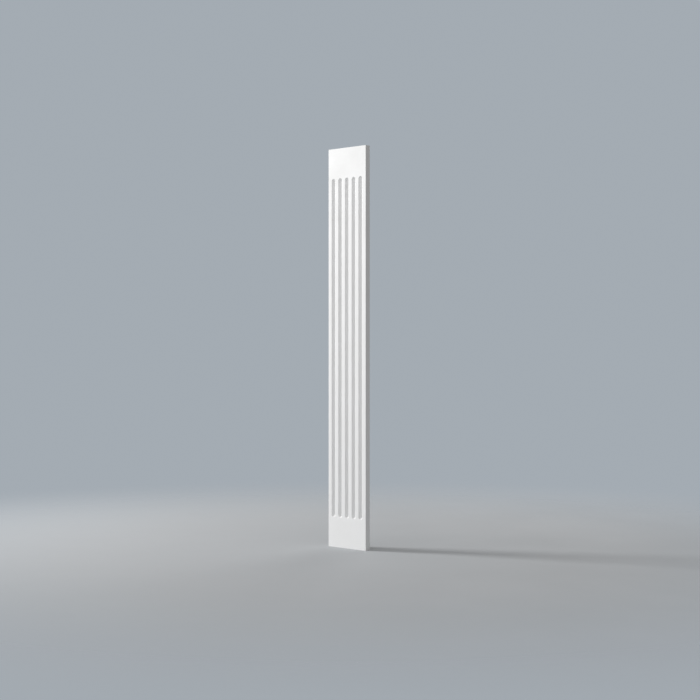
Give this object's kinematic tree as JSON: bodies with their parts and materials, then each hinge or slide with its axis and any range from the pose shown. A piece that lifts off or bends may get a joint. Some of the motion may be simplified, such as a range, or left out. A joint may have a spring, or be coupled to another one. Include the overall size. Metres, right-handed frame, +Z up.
{
  "type": "fluted pilaster shaft",
  "caption": "Tall flat pilaster shaft for fixing to a wall, its front cut with round-ended stopped flutes between plain ends, its back flat.",
  "frame": {"origin": "middle of the flat back face, which meets the wall", "axes": "+X along the wall, +Y into the wall so that the fluted front faces -Y, +Z up"},
  "size_m": [0.25, 0.03, 2],
  "materials": {
    "white_coating": "matt"
  },
  "bodies": {
    "root": {"fluted_shaft": "white_coating"}
  },
  "joints": []
}
